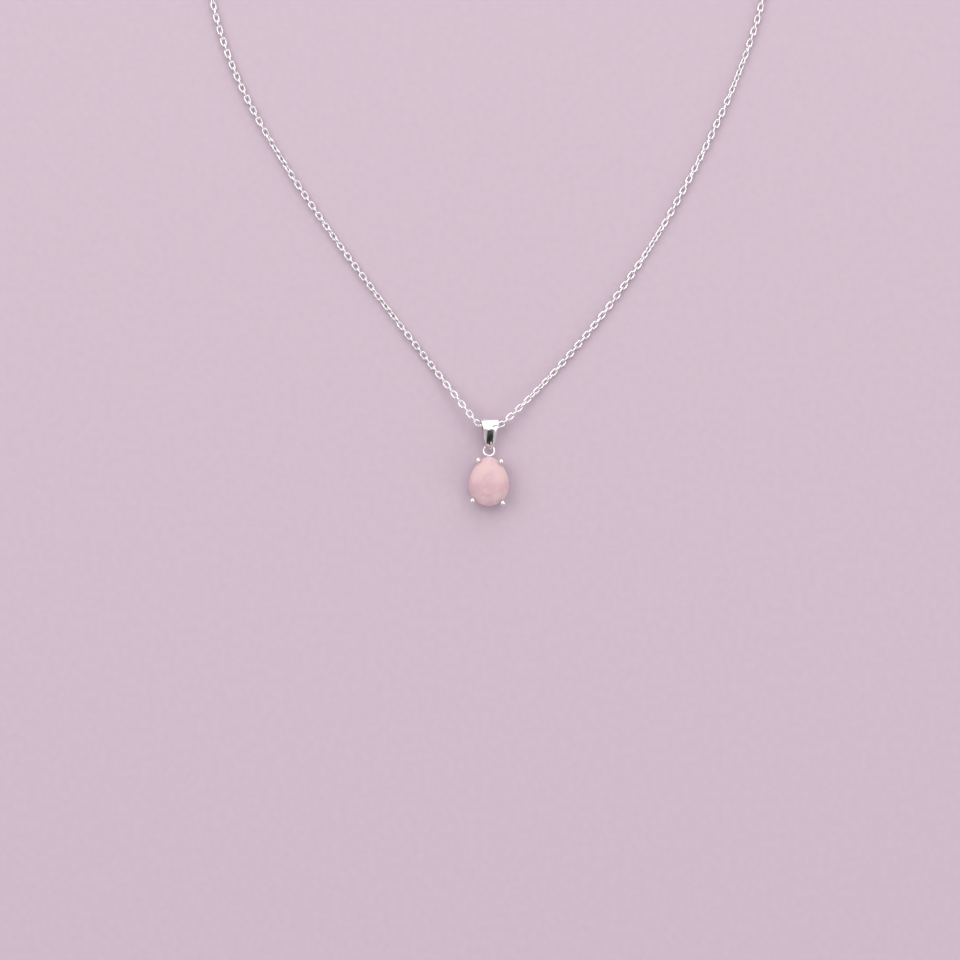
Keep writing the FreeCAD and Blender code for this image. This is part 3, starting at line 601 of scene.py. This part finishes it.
def makeLink():
    k = chainLink
    straight = (k["length"] - k["width"]) / 2
    clearSelection()
    bpy.ops.mesh.primitive_torus_add(
        major_radius=(k["width"] - k["wire"]) / 2,
        minor_radius=k["wire"] / 2 * k["fuller"],
        major_segments=k["around"],
        minor_segments=k["section"],
    )
    link = bpy.context.object
    bpy.ops.object.mode_set(mode="EDIT")
    for side in (1, -1):
        pickVerts(link, lambda co: co.x * side > k["split"])
        bpy.ops.transform.translate(value=(side * straight, 0, 0))
    bpy.ops.object.mode_set(mode="OBJECT")
    smoothByAngle(link, k["smoothAngle"])
    return link


def linkPlaces(node, count):
    # where each link of a CAD chain node lies, from the spread of its own points
    mesh = nodes[node].data
    points = np.empty(len(mesh.vertices) * 3, np.float32)
    mesh.vertices.foreach_get("co", points)
    places = []
    for cloud in points.reshape(count, -1, 3).astype(float):
        centre = cloud.mean(0)
        axes = np.linalg.svd(cloud - centre, full_matrices=False)[2]
        if np.linalg.det(axes) < 0:
            axes[2] *= -1
        along = (cloud - centre) @ axes.T
        centre = centre + ((along.max(0) + along.min(0)) / 2) @ axes
        reach = along.max(0) - along.min(0)
        if abs(reach[0] - chainLink["length"]) > chainLink["misfit"]:
            raise RuntimeError(f"{node}: a link measures {reach}")
        place = Matrix([list(row) + [0] for row in axes.T] + [[0, 0, 0, 1]])
        places.append(Matrix.Translation(Vector(centre)) @ place)
    return places


def makeChain():
    link = makeLink()
    for node in sorted(name for name in nodes if name.startswith("chain_")):
        count = frontLinks if node == "chain_front" else stretchLinks
        copies = []
        for place in linkPlaces(node, count):
            copy = link.copy()
            copy.data = link.data.copy()
            copy.data.transform(place)
            bpy.context.scene.collection.objects.link(copy)
            copies.append(copy)
        clearSelection()
        for copy in copies:
            copy.select_set(True)
        bpy.context.view_layer.objects.active = copies[0]
        bpy.ops.object.join()
        stretch = bpy.context.object
        words = node.split("_")
        stretch.name = words[0] + "".join(word.capitalize() for word in words[1:])
        dress(stretch, chainSilver, "chain_silver", bodyOf(node), node)
    bpy.data.objects.remove(link)


makeChain()
print("chain done")


black, white = (0.02, 0.015, 0.02), (0.95, 0.95, 0.97)
studio = {
    "floor": (0.66, 0.52, 0.60),
    "floorSize": 3,
    "floorMiddle": (0, 0.08, 0),
    "grain": (700, 4),
    "grainStops": (0.35, 0.65),
    "grainShade": 0.97,
    "matte": 0.9,
    "floorGloss": 0.2,
    "cardCorners": 48,
    "world": (0.93, 0.94, 0.97),
    "worldStrength": 0.56,
    "lampAim": (0, 0.03, 0),
}

# place, aim, size, colour and glow of each card
cards = {
    "lensShade": ((-0.11, -0.14, 0.63), (-0.11, -0.14, 0), (0.40, 0.40), black, 0),
    "frontShade": ((0.235, -0.71, 0.285), (0, 0.01, 0), (0.70, 0.54), black, 0),
    "browCard": ((0.16, -0.24, 0.78), (0, 0.01, 0), (0.70, 0.80), white, 1),
    "sideCard": ((-0.52, -0.72, 0.42), (0, 0.01, 0), (0.50, 0.60), white, 0.8),
}

# place, size and power of each lamp
lamps = {
    "keyLamp": ((-0.60, 0.32, 0.72), (0.9, 0.7), 3.2),
    "backLamp": ((0.15, 0.95, 0.45), (1.2, 0.6), 2.4),
    "topLamp": ((0.25, 0.42, 0.72), (0.8, 0.6), 1.6),
    "fillLamp": ((0.85, -0.40, 0.50), (0.6, 0.6), 1.7),
}


def makeFloor():
    clearSelection()
    size, middle = studio["floorSize"], studio["floorMiddle"]
    bpy.ops.mesh.primitive_plane_add(size=size, location=middle)
    floor = bpy.context.object
    floor.name = "paleFloor"
    material, tree, shader = newMaterial("palePaper")
    grain = noise(tree, *studio["grain"])
    low = tuple(c * studio["grainShade"] for c in studio["floor"])
    stops = list(zip(studio["grainStops"], (low, studio["floor"])))
    colour = ramp(tree, grain.outputs["Fac"], stops)
    tree.links.new(colour.outputs["Color"], shader.inputs["Base Color"])
    shader.inputs["Roughness"].default_value = studio["matte"]
    shader.inputs["Specular IOR Level"].default_value = studio["floorGloss"]
    floor.data.materials.append(material)


def makeCard(name, place, aim, size, colour, glow):
    # a matte or a softly glowing card that only shows in polished surfaces
    clearSelection()
    turn = (Vector(aim) - Vector(place)).to_track_quat("Z", "Y").to_euler()
    bpy.ops.mesh.primitive_circle_add(
        vertices=studio["cardCorners"],
        radius=0.5,
        fill_type="NGON",
        location=place,
        rotation=turn,
    )
    card = bpy.context.object
    card.name = name
    card.scale = (size[0], size[1], 1)
    material, tree, shader = newMaterial(name + "Paint")
    shader.inputs["Base Color"].default_value = (*colour, 1)
    shader.inputs["Roughness"].default_value = studio["matte"]
    shader.inputs["Emission Color"].default_value = (*colour, 1)
    shader.inputs["Emission Strength"].default_value = glow
    card.data.materials.append(material)
    card.visible_camera = False
    card.visible_shadow = False
    card.visible_diffuse = False


def makeLamp(name, place, size, power):
    light = bpy.data.lights.new(name, "AREA")
    light.shape = "RECTANGLE"
    light.size, light.size_y = size
    light.energy = power
    lamp = bpy.data.objects.new(name, light)
    bpy.context.scene.collection.objects.link(lamp)
    lamp.location = place
    towards = Vector(place) - Vector(studio["lampAim"])
    lamp.rotation_euler = towards.to_track_quat("Z", "Y").to_euler()


makeFloor()
for name, card in cards.items():
    makeCard(name, *card)
for name, lamp in lamps.items():
    makeLamp(name, *lamp)

world = bpy.data.worlds.new("studioAir")
bpy.context.scene.world = world
world.use_nodes = True
air = world.node_tree.nodes["Background"]
air.inputs["Color"].default_value = (*studio["world"], 1)
air.inputs["Strength"].default_value = studio["worldStrength"]

view = {
    "middle": (-0.0018, 0.0038),
    "distance": 0.60,
    "height": 0.003,      # of the plane that the distance and width are taken at
    "width": 0.192,
    "sensor": 36,
    "nearest": 0.01,
}
lens = bpy.data.cameras.new("camera")
lens.sensor_width = view["sensor"]
lens.lens = view["sensor"] * view["distance"] / view["width"]
lens.clip_start = view["nearest"]
camera = bpy.data.objects.new("camera", lens)
bpy.context.scene.collection.objects.link(camera)
camera.location = (*view["middle"], view["distance"] + view["height"])
bpy.context.scene.camera = camera
bpy.context.scene.view_settings.view_transform = "Standard"
print("studio done")
